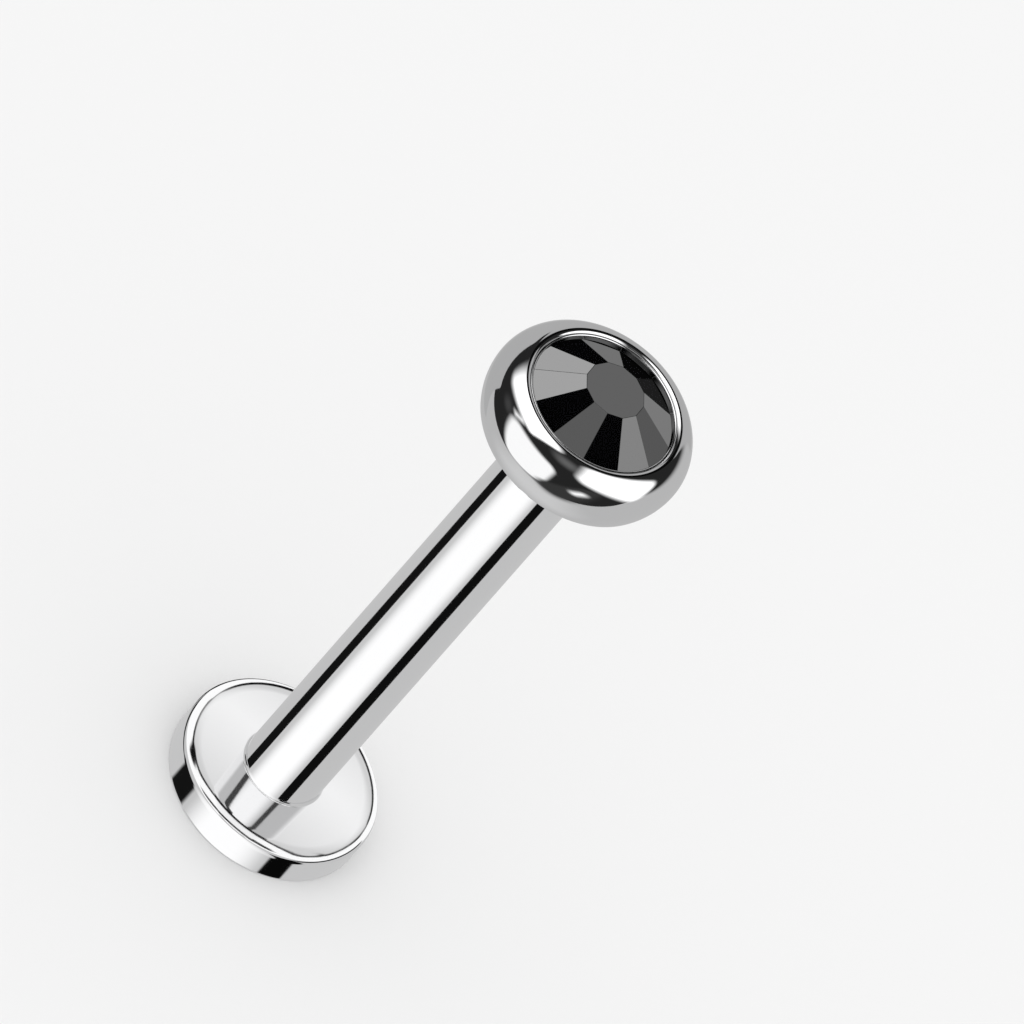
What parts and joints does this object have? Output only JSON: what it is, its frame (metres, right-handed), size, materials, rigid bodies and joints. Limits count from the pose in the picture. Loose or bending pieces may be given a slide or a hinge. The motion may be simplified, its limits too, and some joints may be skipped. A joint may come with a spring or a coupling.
{
  "type": "labret stud",
  "caption": "Labret stud: a flat disc back, a straight post and a screw-in round cup that holds a faceted black crystal.",
  "frame": {"origin": "centre of the disc's back face, on which the stud stands", "axes": "+Z along the post, from the disc towards the crystal; the picture's view is from -Y and above"},
  "size_m": [0.004, 0.004, 0.0138],
  "materials": {
    "steel": "mirror-polished surgical steel with faint polishing lines",
    "crystal": "opaque black cut crystal, polished facets with a dark metallic sheen"
  },
  "bodies": {
    "post": {"disc_post": "steel"},
    "gem_top": {"gem_cup": "steel", "crystal": "crystal"}
  },
  "joints": [
    {"name": "top_unscrews", "type": "slide", "parent": "post", "child": "gem_top", "axis": [0, 0, 1], "range_m": [0, 0.0145]}
  ]
}
